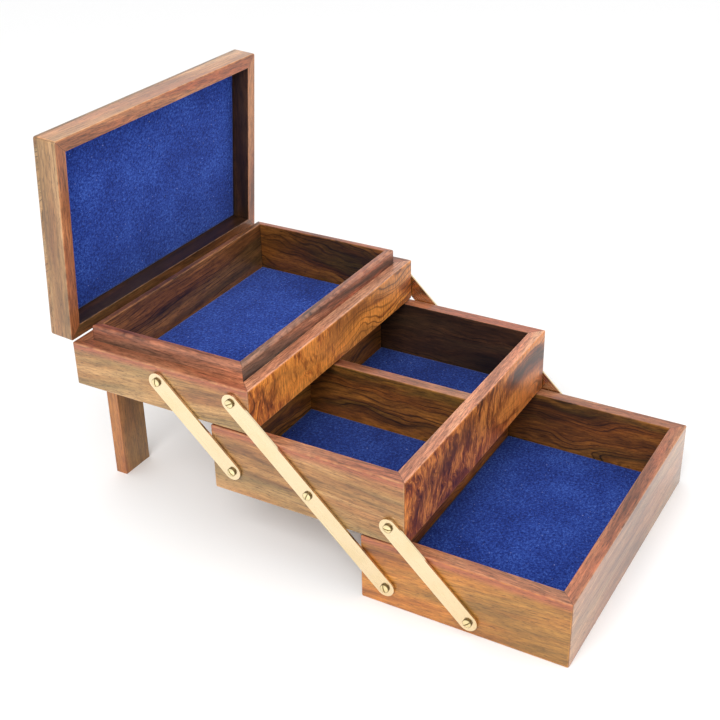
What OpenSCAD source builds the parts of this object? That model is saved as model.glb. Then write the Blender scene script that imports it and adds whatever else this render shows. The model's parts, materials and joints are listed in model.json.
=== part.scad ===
// Sewing box with three cantilever trays, standing open.
// The lowest tray rests on the table; two rear legs carry the back of the upper tray.
// +X runs along the trays, -Y is the side the trays open towards, +Z is up.
// The origin is the centre of the lowest tray's underside.

/* [Trays] */
// Length of every tray along X, over the end boards
tray_w = 250; // [220:1:300]
// Depth of every tray, front to back
tray_d = 160; // [150:1:190]
// Height of the lowest tray and of the middle tray
tray_h = 54.5; // [50:0.5:65]
// Height of the upper tray, without its raised lining
upper_h = 36; // [34:0.5:45]
// Thickness of the tray boards
wall = 11; // [10:0.5:12]
// Thickness of the bottom boards
bottom_t = 5.5; // [4:0.5:6]
// Width of the rebate that holds a bottom board
rebate = 5; // [4:0.5:6]
// Gap between one tray's rim and the bottom of the tray above
tray_gap = 1.25; // [1:0.25:2]
// Thickness of the divider in the middle tray
divider_t = 10; // [6:0.5:12]

/* [Lining of the upper tray] */
// Thickness of the lining boards
liner_t = 6.5; // [4:0.5:8]
// Height of the lining above the rim of the upper tray
liner_rise = 12; // [6:0.5:12]
// Step at the rim, which lets the lid pass the lining
liner_step = 0.6; // [0.4:0.1:1.5]

/* [Lid] */
// Height of the whole lid
lid_h = 21; // [20:0.5:30]
// Thickness of the lid's side boards
lid_wall = 10.5; // [8:0.5:10.5]
// Thickness of the panel over the lid's boards
panel_t = 4; // [3:0.5:5]
// Gap between the closed lid and the rim
lid_gap = 0.6; // [0.4:0.1:1]
// Angle at which the lid stands open
lid_open = 86; // [80:1:100]

/* [Felt] */
// Thickness of the felt
felt_t = 2; // [1:0.25:3]
// Space left round each felt sheet
felt_gap = 0.2; // [0.1:0.1:1]

/* [Links] */
// How far each tray stands forward of the tray above it when open
tray_step = 124.5; // [110:0.5:126]
// Distance between two neighbouring pivots on one tray
pivot_span = 65; // [60:0.5:66]
// Distance of the upper tray's rear pivot from its back
rear_pivot = 80.5; // [74:0.5:82]
// Height of the pivots in the lowest tray
pivot_z = 17; // [14:0.5:20]
// How much higher the pivots sit in each tray than in the one below
pivot_climb = 3.5; // [0:0.5:4]
// How much lower the front links' pivots sit than the other pivots of the same tray
front_drop = 5.5; // [0:0.5:6]
// Width of the brass links
link_w = 14; // [11:0.5:14]
// Thickness of the brass links
link_t = 1.6; // [1.2:0.1:2.5]
// Thickness of the washers behind the links
washer_t = 0.8; // [0.5:0.1:1.5]
// Outer radius of the washers
washer_r = 4.6; // [4:0.1:5]
// Radius of the pivot screws' shanks
pivot_r = 1.8; // [1.5:0.1:2.2]
// Radius of the pivot screws' heads
pivot_head_r = 3.4; // [3.2:0.1:4.5]

/* [Legs] */
// Width of a leg along X
leg_w = 30.5; // [24:0.5:34]
// Thickness of a leg below the upper tray
leg_t = 10.5; // [8:0.5:12]
// Depth by which the leg is cut back below the upper tray
leg_relief = 2; // [1:0.5:3]
// Distance of a leg's middle from the middle of the box
leg_x = 66.5; // [66:0.5:80]

/* [Hinges] */
// Length of a hinge
hinge_l = 30; // [24:1:32]
// Distance of a hinge's middle from the middle of the box
hinge_x = 34; // [28:0.5:35]
// Thickness of the hinge leaves
leaf_t = 1.2; // [1:0.1:1.4]
// Height of a hinge leaf, from the pin
leaf_h = 14; // [12:0.5:15]
// Outer radius of the knuckles
knuckle_r = 2; // [1.8:0.1:2.2]
// Radius of the hinge pin
pin_r = 1; // [0.8:0.1:1.1]

/* [Hidden] */
$fn = 64;

wood = "#8f5532";
wood_front = "#7d4423";
wood_inner = "#5f3a22";
felt = "#27408f";
brass = "#e3cf94";

// Radial and side clearances
run = 0.08;
fit = 0.02;
side_run = 0.1;
// Length by which a cutting shape runs past the surface that it cuts
over = 1;

// Tray levels: 0 is the lowest tray, 1 the middle one, 2 the upper one
tray_pitch = tray_h + tray_gap;
upper_y = 2 * tray_step;
upper_z = 2 * tray_pitch;
rim_z = upper_z + upper_h;
back_y = upper_y + tray_d / 2;
inner_w = tray_w - 2 * wall;
inner_d = tray_d - 2 * wall;

// Pivots: the links lean back by half a step from one tray to the next.
// column 0 is the rear link's, 1 the long link's, 2 the front link's.
link_dy = tray_step / 2;
link_dz = tray_pitch + pivot_climb;
function pivot_y(level, column) =
    back_y - rear_pivot - column * pivot_span - (2 - level) * link_dy;
function pivot_height(level, column) =
    level * tray_pitch + pivot_z + level * pivot_climb - (column == 2 ? front_drop : 0);
base_columns = [1, 2];
middle_columns = [0, 1, 2];
upper_columns = [0, 1];
link_x = tray_w / 2 + washer_t + side_run;
head_x = link_x + link_t + side_run;
head_h = 2.3;
head_rim = 1.3;
slot_w = 0.9;
slot_d = 0.9;
screw_depth = 9;
divider_drop = 0.5;

// Slot angles: every screw is left at an angle of its own
slot_start = 25;
slot_by_column = 67;
slot_by_level = 40;
slot_by_end = 20;
function pivot_slot(dir, level, column) =
    slot_start + slot_by_column * column + slot_by_level * level + slot_by_end * dir;

// Hinge axis, in line with the back faces, and screws
axis_y = back_y;
axis_z = rim_z + lid_gap / 2;
knuckle_gap = 0.3;
leaf_clear = 0.3;
pin_end = 0.2;
knuckle_l = (hinge_l - 2 * knuckle_gap) / 3;
small_r = 1.1;
small_head_r = 2.3;
small_head_rim = 0.45;
small_head_h = 1.2;
small_slot_w = 0.5;
small_slot_d = 0.7;
small_depth = 6;
leaf_screw_z = 8.5;
leaf_screw_x = 9;
leg_screw_r = 1.7;
leg_screw_head_r = 3.4;
leg_screw_head_rim = 0.6;
leg_screw_head_h = 1.8;
leg_screw_slot_d = 0.8;
leg_screw_depth = 7;
leg_screw_zs = [9, 26];
leg_top_drop = 0.5;
stop_gap = 0.3;

// A block that is centred in X and Y
module block(w, d, h, z = 0) {
    translate([-w / 2, -d / 2, z]) cube([w, d, h]);
}

// A round bar along +X that starts at x
module bar(r, x, l) {
    translate([x, 0, 0]) rotate([0, 90, 0]) cylinder(r = r, h = l);
}

// Turns a piece made for the front side to another side of a w by d frame.
// The extruded profile runs inwards from the outer face and up.
module side_bar(side, w, d, profile) {
    if (side == "front" || side == "back")
        mirror([0, side == "back" ? 1 : 0, 0])
            translate([-w / 2, -d / 2, 0]) rotate([90, 0, 90])
                linear_extrude(w) polygon(profile);
    else
        mirror([side == "right" ? 1 : 0, 0, 0])
            translate([-w / 2, d / 2, 0]) rotate([90, 0, 0])
                linear_extrude(d) polygon(profile);
}

// The part of a w by d plan that belongs to one side, cut at 45 degrees
module mitre_zone(side, w, d, z, h) {
    out = 1;
    reach = 20;
    long = side == "front" || side == "back";
    a = (long ? w : d) / 2;
    b = (long ? d : w) / 2;
    turn = side == "front" ? 0 : side == "right" ? 90 : side == "back" ? 180 : 270;
    rotate([0, 0, turn]) translate([0, 0, z]) linear_extrude(h)
        polygon([[-a - out, -b - out], [a + out, -b - out],
            [a - reach, -b + reach], [-a + reach, -b + reach]]);
}

// One mitred board of a frame
module frame_board(side, w, d, h, profile) {
    intersection() {
        side_bar(side, w, d, profile);
        mitre_zone(side, w, d, -over, h + 2 * over);
    }
}

// Tray board: a rebate along its lower inner edge holds the bottom board
module tray_board(side, h) {
    frame_board(side, tray_w, tray_d, h,
        [[0, 0], [wall - rebate, 0], [wall - rebate, bottom_t],
            [wall, bottom_t], [wall, h], [0, h]]);
}

// Moves a piece from the lowest tray's place to that of another tray
module at_tray(level) {
    translate([0, level * tray_step, level * tray_pitch]) children();
}

// Puts a piece that is made at the +X end, on a pivot's axis, at that end (dir 1) or the other (-1)
module at_pivot(dir, level, column) {
    translate([0, pivot_y(level, column), pivot_height(level, column)])
        mirror([dir < 0 ? 1 : 0, 0, 0]) children();
}

// End board of a tray, with a blind hole for each of its pivot screws
module tray_end(dir, level, h, columns) {
    difference() {
        at_tray(level) tray_board(dir < 0 ? "left" : "right", h);
        for (c = columns)
            at_pivot(dir, level, c)
                bar(pivot_r + fit, tray_w / 2 - screw_depth, screw_depth + over);
    }
}

// Bottom board of a tray, in its rebate
module tray_bottom(level) {
    at_tray(level)
        block(inner_w + 2 * rebate, inner_d + 2 * rebate, bottom_t);
}

// Felt sheet over a w by d floor whose middle is at x
module floor_felt(level, x, w, d) {
    at_tray(level) translate([x, 0, 0])
        block(w - 2 * felt_gap, d - 2 * felt_gap, felt_t, bottom_t);
}

// Slotted head of a screw along +X, with its underside at x = 0, upright sides and a low dome
module slotted_head(r, rim, h, slot, depth, turn) {
    dome = h - rim;
    dome_r = (r * r + dome * dome) / (2 * dome);
    difference() {
        rotate([0, 90, 0]) rotate_extrude()
            union() {
                square([r, rim]);
                intersection() {
                    translate([0, h - dome_r]) circle(dome_r);
                    square([r, h]);
                }
            }
        rotate([turn, 0, 0])
            translate([h - depth, -r - over, -slot / 2])
                cube([depth + over, 2 * (r + over), slot]);
    }
}

// Screw along +X: a shank that ends at the head's underside, and the head
module screw(shank_r, shank_l, r, rim, h, slot, depth, turn) {
    union() {
        bar(shank_r, -shank_l, shank_l + rim / 2);
        slotted_head(r, rim, h, slot, depth, turn);
    }
}

// Pivot screws of one tray, at both ends, each with its slot at its own angle
module pivot_screws(level, columns) {
    for (dir = [-1, 1], c = columns)
        at_pivot(dir, level, c) translate([head_x, 0, 0])
            screw(pivot_r, head_x - tray_w / 2 + screw_depth, pivot_head_r,
                head_rim, head_h, slot_w, slot_d, pivot_slot(dir, level, c));
}

// Washers between one tray's ends and its links
module pivot_washers(level, columns) {
    for (dir = [-1, 1], c = columns)
        at_pivot(dir, level, c)
            difference() {
                bar(washer_r, tray_w / 2, washer_t);
                bar(pivot_r + fit, tray_w / 2 - over, washer_t + 2 * over);
            }
}

// Flat link from a tray up to the tray that is reach levels above it, round at both ends
module link(dir, column, level, reach) {
    lean = atan2(link_dz, link_dy);
    length = norm([link_dy, link_dz]);
    at_pivot(dir, level, column) rotate([lean, 0, 0])
        difference() {
            union() {
                translate([link_x, 0, -link_w / 2])
                    cube([link_t, reach * length, link_w]);
                for (end = [0, reach])
                    translate([0, end * length, 0]) bar(link_w / 2, link_x, link_t);
            }
            for (k = [0 : reach])
                translate([0, k * length, 0])
                    bar(pivot_r + run, link_x - over, link_t + 2 * over);
        }
}

// Lining board, stepped in above the rim and chamfered at its top outer edge
module liner_board(side) {
    chamfer = 1.2;
    top = upper_h + liner_rise;
    at_tray(2)
        frame_board(side, inner_w, inner_d, top,
            [[0, bottom_t], [liner_t, bottom_t], [liner_t, top],
                [liner_step + chamfer, top], [liner_step, top - chamfer],
                [liner_step, upper_h], [0, upper_h]]);
}

// Turns a piece of the closed lid to where it stands open
module open_lid() {
    translate([0, axis_y, axis_z]) rotate([-lid_open, 0, 0])
        translate([0, -axis_y, -axis_z]) children();
}

// Moves a piece from the origin to the closed lid's rim
module on_rim() {
    translate([0, upper_y, rim_z + lid_gap]) children();
}

// Mitred side board of the closed lid
module lid_board(side) {
    board_h = lid_h - panel_t;
    on_rim()
        frame_board(side, tray_w, tray_d, board_h,
            [[0, 0], [lid_wall, 0], [lid_wall, board_h], [0, board_h]]);
}

// Hollow in a board's edge for the hinge knuckles
module knuckle_room() {
    room = 0.3;
    for (dir = [-1, 1])
        translate([dir * hinge_x, axis_y, axis_z])
            bar(knuckle_r + room, -hinge_l / 2 - room, hinge_l + 2 * room);
}

// Places of the hinge screws, for screws along +X that point out of the back.
// up is -1 for the case's leaves and 1 for the lid's.
module at_leaf_screws(dir, up) {
    for (side = [-1, 1])
        translate([dir * hinge_x + side * leaf_screw_x, back_y + leaf_t, axis_z + up * leaf_screw_z])
            rotate([0, 0, 90]) children();
}

// Hinge leaf with its knuckles: starts are the knuckles' first X, from the hinge's middle
module leaf(dir, up, starts, bore_r) {
    top = knuckle_r + leaf_clear;
    difference() {
        union() {
            translate([dir * hinge_x - hinge_l / 2, back_y, up > 0 ? axis_z + top : axis_z - leaf_h])
                cube([hinge_l, leaf_t, leaf_h - top]);
            for (x = starts) {
                translate([dir * hinge_x + x, back_y, up > 0 ? axis_z : axis_z - top])
                    cube([knuckle_l, leaf_t, top]);
                translate([dir * hinge_x, axis_y, axis_z]) bar(knuckle_r, x, knuckle_l);
            }
        }
        translate([dir * hinge_x, axis_y, axis_z]) bar(bore_r, -hinge_l, 2 * hinge_l);
        at_leaf_screws(dir, up) bar(small_r + fit, -leaf_t - over, leaf_t + 2 * over);
    }
}

// Holes in a back board for the screws of the hinge leaves
module leaf_screw_holes(up) {
    for (dir = [-1, 1])
        at_leaf_screws(dir, up)
            bar(small_r + fit, -leaf_t - small_depth, small_depth + over);
}

// Screws of the hinge leaves
module leaf_screws(up) {
    for (dir = [-1, 1])
        at_leaf_screws(dir, up)
            screw(small_r, small_depth + leaf_t, small_head_r, small_head_rim,
                small_head_h, small_slot_w, small_slot_d,
                slot_by_end * dir + slot_by_level * up);
}

// Places of the leg screws: on the legs' rear faces
module at_leg_screws(dir) {
    for (z = leg_screw_zs)
        translate([dir * leg_x, back_y + leg_relief + leg_t, upper_z + z])
            rotate([0, 0, 90]) children();
}

// Rear leg: flat on the upper tray's back, cut back below it, with a top that stops the lid
module leg(dir) {
    thick = leg_relief + leg_t;
    low = axis_z - leg_top_drop;
    high = axis_z + thick / tan(lid_open) - stop_gap;
    color(wood)
        difference() {
            translate([dir * leg_x - leg_w / 2, back_y, 0]) rotate([90, 0, 90])
                linear_extrude(leg_w)
                    polygon([[leg_relief, 0], [thick, 0], [thick, high], [0, low],
                        [0, upper_z], [leg_relief, upper_z]]);
            at_leg_screws(dir) bar(leg_screw_r + fit, -thick - over, thick + 2 * over);
        }
}

module base_front_board() { color(wood_front) tray_board("front", tray_h); }
module base_back_board() { color(wood_inner) tray_board("back", tray_h); }
module base_left_board() { color(wood) tray_end(-1, 0, tray_h, base_columns); }
module base_right_board() { color(wood) tray_end(1, 0, tray_h, base_columns); }
module base_bottom_board() { color(wood_inner) tray_bottom(0); }
module base_felt() { color(felt) floor_felt(0, 0, inner_w, inner_d); }
module base_pivot_screws() { color(brass) pivot_screws(0, base_columns); }
module base_washers() { color(brass) pivot_washers(0, base_columns); }

module middle_front_board() { color(wood_front) at_tray(1) tray_board("front", tray_h); }
module middle_back_board() { color(wood_inner) at_tray(1) tray_board("back", tray_h); }
module middle_left_board() { color(wood) tray_end(-1, 1, tray_h, middle_columns); }
module middle_right_board() { color(wood) tray_end(1, 1, tray_h, middle_columns); }
module middle_bottom_board() { color(wood_inner) tray_bottom(1); }

module middle_divider() {
    color(wood_inner) at_tray(1)
        block(divider_t, inner_d, tray_h - bottom_t - divider_drop, bottom_t);
}

module middle_felt(dir) {
    room = (inner_w - divider_t) / 2;
    color(felt) floor_felt(1, dir * (divider_t + room) / 2, room, inner_d);
}

module middle_left_felt() { middle_felt(-1); }
module middle_right_felt() { middle_felt(1); }
module middle_pivot_screws() { color(brass) pivot_screws(1, middle_columns); }
module middle_washers() { color(brass) pivot_washers(1, middle_columns); }

module upper_front_board() { color(wood_front) at_tray(2) tray_board("front", upper_h); }

module upper_back_board() {
    color(wood_inner)
        difference() {
            at_tray(2) tray_board("back", upper_h);
            knuckle_room();
            leaf_screw_holes(-1);
            for (dir = [-1, 1])
                at_leg_screws(dir)
                    bar(leg_screw_r + fit, -leg_relief - leg_t - leg_screw_depth,
                        leg_screw_depth + over);
        }
}

module upper_left_board() { color(wood) tray_end(-1, 2, upper_h, upper_columns); }
module upper_right_board() { color(wood) tray_end(1, 2, upper_h, upper_columns); }
module upper_bottom_board() { color(wood_inner) tray_bottom(2); }
module upper_felt() { color(felt) floor_felt(2, 0, inner_w - 2 * liner_t, inner_d - 2 * liner_t); }
module upper_pivot_screws() { color(brass) pivot_screws(2, upper_columns); }
module upper_washers() { color(brass) pivot_washers(2, upper_columns); }
module liner_front() { color(wood_inner) liner_board("front"); }
module liner_back() { color(wood_inner) liner_board("back"); }
module liner_left() { color(wood_inner) liner_board("left"); }
module liner_right() { color(wood_inner) liner_board("right"); }

module lid_front_board() { color(wood) open_lid() lid_board("front"); }

module lid_back_board() {
    color(wood) open_lid()
        difference() {
            lid_board("back");
            knuckle_room();
            leaf_screw_holes(1);
        }
}

module lid_left_board() { color(wood) open_lid() lid_board("left"); }
module lid_right_board() { color(wood) open_lid() lid_board("right"); }

module lid_panel() {
    color(wood_front) open_lid() on_rim() block(tray_w, tray_d, panel_t, lid_h - panel_t);
}

module lid_felt() {
    color(felt) open_lid() on_rim()
        block(tray_w - 2 * lid_wall - 2 * felt_gap, tray_d - 2 * lid_wall - 2 * felt_gap,
            felt_t, lid_h - panel_t - felt_t);
}

module left_long_link() { color(brass) link(-1, 1, 0, 2); }
module right_long_link() { color(brass) link(1, 1, 0, 2); }
module left_rear_link() { color(brass) link(-1, 0, 1, 1); }
module right_rear_link() { color(brass) link(1, 0, 1, 1); }
module left_front_link() { color(brass) link(-1, 2, 0, 1); }
module right_front_link() { color(brass) link(1, 2, 0, 1); }

module left_leg() { leg(-1); }
module right_leg() { leg(1); }

module leg_screws() {
    color(brass)
        for (dir = [-1, 1])
            at_leg_screws(dir)
                screw(leg_screw_r, leg_relief + leg_t + leg_screw_depth, leg_screw_head_r,
                    leg_screw_head_rim, leg_screw_head_h, slot_w, leg_screw_slot_d,
                    slot_start + slot_by_level * dir);
}

// The case's leaf has the two outer knuckles, the lid's leaf the middle one
module case_leaf(dir) {
    color(brass) leaf(dir, -1, [-hinge_l / 2, hinge_l / 2 - knuckle_l], pin_r + fit);
}

module lid_leaf(dir) {
    color(brass) open_lid() leaf(dir, 1, [-knuckle_l / 2], pin_r + run);
}

module left_case_leaf() { case_leaf(-1); }
module right_case_leaf() { case_leaf(1); }
module left_lid_leaf() { lid_leaf(-1); }
module right_lid_leaf() { lid_leaf(1); }

module hinge_pins() {
    color(brass)
        for (dir = [-1, 1])
            translate([dir * hinge_x, axis_y, axis_z])
                bar(pin_r, -hinge_l / 2 - pin_end, hinge_l + 2 * pin_end);
}

module case_leaf_screws() { color(brass) leaf_screws(-1); }
module lid_leaf_screws() { color(brass) open_lid() leaf_screws(1); }

base_front_board();
base_back_board();
base_left_board();
base_right_board();
base_bottom_board();
base_felt();
base_pivot_screws();
base_washers();
middle_front_board();
middle_back_board();
middle_left_board();
middle_right_board();
middle_bottom_board();
middle_divider();
middle_left_felt();
middle_right_felt();
middle_pivot_screws();
middle_washers();
upper_front_board();
upper_back_board();
upper_left_board();
upper_right_board();
upper_bottom_board();
upper_felt();
upper_pivot_screws();
upper_washers();
liner_front();
liner_back();
liner_left();
liner_right();
lid_front_board();
lid_back_board();
lid_left_board();
lid_right_board();
lid_panel();
lid_felt();
left_long_link();
right_long_link();
left_rear_link();
right_rear_link();
left_front_link();
right_front_link();
left_leg();
right_leg();
leg_screws();
left_case_leaf();
right_case_leaf();
left_lid_leaf();
right_lid_leaf();
hinge_pins();
case_leaf_screws();
lid_leaf_screws();
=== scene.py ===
"""Cantilever sewing box with three trays: wood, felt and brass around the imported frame."""

import json
import math
import random

import bmesh
import bpy
from mathutils import Matrix, Vector


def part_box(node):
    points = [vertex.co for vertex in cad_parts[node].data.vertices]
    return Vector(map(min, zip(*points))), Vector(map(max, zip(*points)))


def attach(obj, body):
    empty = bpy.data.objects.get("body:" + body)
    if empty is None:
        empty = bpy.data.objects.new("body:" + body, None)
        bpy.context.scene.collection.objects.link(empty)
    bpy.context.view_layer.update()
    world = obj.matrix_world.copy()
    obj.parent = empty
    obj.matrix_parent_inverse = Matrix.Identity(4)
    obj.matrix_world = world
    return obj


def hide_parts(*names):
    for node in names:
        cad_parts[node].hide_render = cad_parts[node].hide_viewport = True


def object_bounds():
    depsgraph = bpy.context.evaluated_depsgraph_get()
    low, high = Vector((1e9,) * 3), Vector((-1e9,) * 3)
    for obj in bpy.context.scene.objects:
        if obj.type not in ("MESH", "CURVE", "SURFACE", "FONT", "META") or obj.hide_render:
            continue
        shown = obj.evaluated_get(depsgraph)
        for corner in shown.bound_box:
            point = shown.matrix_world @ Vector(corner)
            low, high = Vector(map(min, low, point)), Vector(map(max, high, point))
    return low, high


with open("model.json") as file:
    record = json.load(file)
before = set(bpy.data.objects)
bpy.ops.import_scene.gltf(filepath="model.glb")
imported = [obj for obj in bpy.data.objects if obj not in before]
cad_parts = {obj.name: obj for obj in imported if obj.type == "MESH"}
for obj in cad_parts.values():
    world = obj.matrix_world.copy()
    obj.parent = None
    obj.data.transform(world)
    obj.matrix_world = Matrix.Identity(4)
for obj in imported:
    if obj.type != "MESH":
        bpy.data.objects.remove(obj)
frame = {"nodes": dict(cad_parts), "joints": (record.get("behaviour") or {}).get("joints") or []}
CAD_LOW, CAD_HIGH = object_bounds()
MM = 0.001

JOINTS = {j["name"]: j for j in frame["joints"]}

# ---------------------------------------------------------------- sizes


def size_of(node):
    """A node's size along X, Y and Z."""
    low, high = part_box(node)
    return high - low


TRAY_W = size_of("base_front_board").x
TRAY_D = size_of("base_left_board").y
TRAY_H = size_of("base_front_board").z
UPPER_H = size_of("upper_front_board").z
WALL = size_of("base_front_board").y
BOTTOM_T = size_of("base_bottom_board").z
REBATE = WALL - (TRAY_W - size_of("base_bottom_board").x) / 2
LINER_T = size_of("liner_front").y
LINER_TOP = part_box("liner_front")[1].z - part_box("upper_front_board")[0].z
LID_WALL = size_of("lid_left_board").x
LID_OPEN = math.radians(JOINTS["lid_hinge"]["range_deg"][1])
HINGE = Vector(JOINTS["lid_hinge"]["pos_m"])
RIM_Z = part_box("upper_front_board")[1].z
# Sizes that no node's box shows
KNUCKLE_R = 2 * MM
KNUCKLE_ROOM = 0.3 * MM
LINER_STEP = 0.6 * MM
LINER_CHAMFER = 1.6 * MM


def tray_origin(tray):
    """Middle of a tray's underside."""
    low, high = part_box(f"{tray}_left_board")
    return Vector((0, (low.y + high.y) / 2, low.z))


# ---------------------------------------------------------------- camera, light and floor

CAMERA_AT = Vector((-0.7444, -0.2811, 0.5967))
CAMERA_YAW = math.radians(59.95)
CAMERA_PITCH = math.radians(29.17)
CAMERA_ROLL = math.radians(1.16)
CAMERA_LENS_MM = 62.9
SENSOR_MM = 36
# Each light's place, size and power
LIGHTS = {
    "key": ((-1.3, -0.1, 1.2), (0.9, 0.9), 17),
    "front": ((0.5, -1.6, 1.0), (1.2, 0.8), 4),
}
LIT_POINT = (0, 0.13, 0.12)
FLOOR_SIZE = 12
FLOOR_COLOUR = (0.93, 0.93, 0.93, 1)


def make_camera():
    data = bpy.data.cameras.new("camera")
    data.lens = CAMERA_LENS_MM
    data.sensor_width = SENSOR_MM
    camera = bpy.data.objects.new("camera", data)
    bpy.context.scene.collection.objects.link(camera)
    forward = Vector((math.sin(CAMERA_YAW) * math.cos(CAMERA_PITCH),
                      math.cos(CAMERA_YAW) * math.cos(CAMERA_PITCH),
                      -math.sin(CAMERA_PITCH)))
    level_right = Vector((math.cos(CAMERA_YAW), -math.sin(CAMERA_YAW), 0))
    level_down = forward.cross(level_right)
    right = level_right * math.cos(CAMERA_ROLL) + level_down * math.sin(CAMERA_ROLL)
    down = level_down * math.cos(CAMERA_ROLL) - level_right * math.sin(CAMERA_ROLL)
    turn = Matrix((right, -down, -forward)).transposed().to_4x4()
    camera.matrix_world = Matrix.Translation(CAMERA_AT) @ turn
    bpy.context.scene.camera = camera


def area_light(name, at, size, power):
    data = bpy.data.lights.new(name, "AREA")
    data.shape = "RECTANGLE"
    data.size, data.size_y = size
    data.energy = power
    light = bpy.data.objects.new(name, data)
    bpy.context.scene.collection.objects.link(light)
    light.location = at
    light.rotation_euler = (Vector(LIT_POINT) - Vector(at)).to_track_quat("-Z", "Y").to_euler()


def make_studio():
    world = bpy.data.worlds.new("studio")
    bpy.context.scene.world = world
    world.use_nodes = True
    background = world.node_tree.nodes["Background"]
    background.inputs["Color"].default_value = (1, 1, 1, 1)
    background.inputs["Strength"].default_value = 1.0
    for name, (at, size, power) in LIGHTS.items():
        area_light(name, at, size, power)
    bpy.ops.mesh.primitive_plane_add(size=FLOOR_SIZE, location=(0, 0, 0))
    floor = bpy.context.object
    floor.name = "studio_floor"
    material = bpy.data.materials.new("floor")
    material.use_nodes = True
    shader = material.node_tree.nodes["Principled BSDF"]
    shader.inputs["Base Color"].default_value = FLOOR_COLOUR
    shader.inputs["Roughness"].default_value = 0.7
    floor.data.materials.append(material)
    bpy.context.scene.view_settings.view_transform = "Standard"


make_camera()
make_studio()

# ---------------------------------------------------------------- node helpers


def linear(hex_colour):
    """Linear RGBA from an sRGB colour such as #A5825F."""
    out = []
    for i in (1, 3, 5):
        c = int(hex_colour[i:i + 2], 16) / 255
        out.append(c / 12.92 if c <= 0.04045 else ((c + 0.055) / 1.055) ** 2.4)
    return (*out, 1)


class Nodes:
    """Short ways to make and link shader nodes in one material."""

    def __init__(self, name):
        self.material = bpy.data.materials.new(name)
        self.material.use_nodes = True
        self.tree = self.material.node_tree
        self.shader = self.tree.nodes["Principled BSDF"]

    def add(self, kind, inputs=None, **settings):
        node = self.tree.nodes.new(kind)
        for key, value in settings.items():
            setattr(node, key, value)
        for key, value in (inputs or {}).items():
            self.put(node.inputs[key], value)
        return node

    def put(self, socket, value):
        if isinstance(value, bpy.types.NodeSocket):
            self.tree.links.new(value, socket)
        else:
            socket.default_value = value

    def math(self, operation, a, b=0.0):
        return self.add("ShaderNodeMath", {0: a, 1: b}, operation=operation).outputs[0]

    def plus(self, a, b):
        return self.math("ADD", a, b)

    def minus(self, a, b):
        return self.math("SUBTRACT", a, b)

    def times(self, a, b):
        return self.math("MULTIPLY", a, b)

    def vector(self, operation, a, b=(0, 0, 0)):
        return self.add("ShaderNodeVectorMath", {0: a, 1: b}, operation=operation).outputs[0]

    def scaled(self, vector, scale):
        return self.vector("MULTIPLY", vector, scale)

    def noise(self, vector, detail, rough=0.5, scale=1.0):
        """Cloudy noise: its outputs are Fac and Color."""
        return self.add("ShaderNodeTexNoise", {"Vector": vector, "Scale": scale, "Detail": detail,
                                               "Roughness": rough}).outputs

    def ramp(self, value, stops):
        node = self.add("ShaderNodeValToRGB", {"Fac": value})
        ramp = node.color_ramp
        while len(ramp.elements) < len(stops):
            ramp.elements.new(0.5)
        for element, (place, colour) in zip(ramp.elements, stops):
            element.position = place
            element.color = colour if len(colour) == 4 else (*colour, 1)
        return node.outputs["Color"]

    def step(self, value, low, high):
        """0 below low, 1 above high."""
        node = self.add("ShaderNodeMapRange", {"Value": value, "From Min": low, "From Max": high},
                        clamp=True)
        return node.outputs["Result"]

    def mix(self, factor, a, b, blend="MIX"):
        node = self.add("ShaderNodeMix", data_type="RGBA", blend_type=blend)
        self.put(node.inputs["Factor"], factor)
        self.put(node.inputs["A"], a)
        self.put(node.inputs["B"], b)
        return node.outputs["Result"]

    def finish(self, colour, rough, height, bump, depth):
        self.put(self.shader.inputs["Base Color"], colour)
        self.put(self.shader.inputs["Roughness"], rough)
        node = self.add("ShaderNodeBump", {"Height": height, "Strength": bump, "Distance": depth})
        self.put(self.shader.inputs["Normal"], node.outputs["Normal"])
        return self.material


# ---------------------------------------------------------------- wood

# Light, middle and dark wood, thin dark lines, the grey-green cast and the reddish cast
PALETTES = {
    "end": ("#B88D5A", "#9A6E3E", "#6C4728", "#3A2516", "#7B6C44", "#9C6039"),
    "olive": ("#AA845A", "#8C683F", "#644429", "#362317", "#77694A", "#8F5C3A"),
    "golden": ("#C48136", "#A26224", "#703F17", "#3C2410", "#886A30", "#A85824"),
    "leg": ("#B67A40", "#98602A", "#693C1A", "#37200E", "#78602E", "#9E5428"),
    "front": ("#D4823C", "#84441A", "#46200A", "#221005", "#6C421A", "#B8602A"),
    "amber": ("#E48E3E", "#A65A26", "#562A12", "#2E160A", "#96602F", "#CC7030"),
    "tan": ("#B98B64", "#96684A", "#6C4630", "#40281C", "#7E6650", "#A06444"),
    "rim": ("#B67C56", "#96583A", "#64341F", "#331B11", "#84543C", "#AC563A"),
    "warm_rim": ("#BC7E50", "#9A5A34", "#64341C", "#33190E", "#845432", "#B05832"),
    # A lighter rim, painted light for the flamed fronts' rims, which lie in shade
    "painted_light_rim": ("#E0A47C", "#C07C5A", "#844E36", "#482A1D", "#A67C62", "#C8704E"),
    "streaked": ("#C08666", "#8E563E", "#42302A", "#1C1613", "#5A5148", "#A65C42"),
    "liner": ("#B47050", "#844C34", "#462A1E", "#211410", "#544A3E", "#9E543A"),
    "inner": ("#A06628", "#70441A", "#3A200C", "#160C05", "#64501F", "#8C4E1C"),
    "deep": ("#8A5622", "#5C3614", "#2C1708", "#100804", "#524018", "#743E14"),
    "choc": ("#A2683A", "#6E4424", "#38210F", "#180E07", "#584628", "#865028"),
    "dark": ("#4E321D", "#352012", "#1E120A", "#0E0804", "#362A1B", "#3E2313"),
    "peach": ("#D09A6C", "#AE784A", "#7E5232", "#503320", "#9C8058", "#BC744A"),
    "plain": ("#A8835C", "#8C6845", "#6A4B31", "#463121", "#877758", "#94633F"),
}

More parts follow.
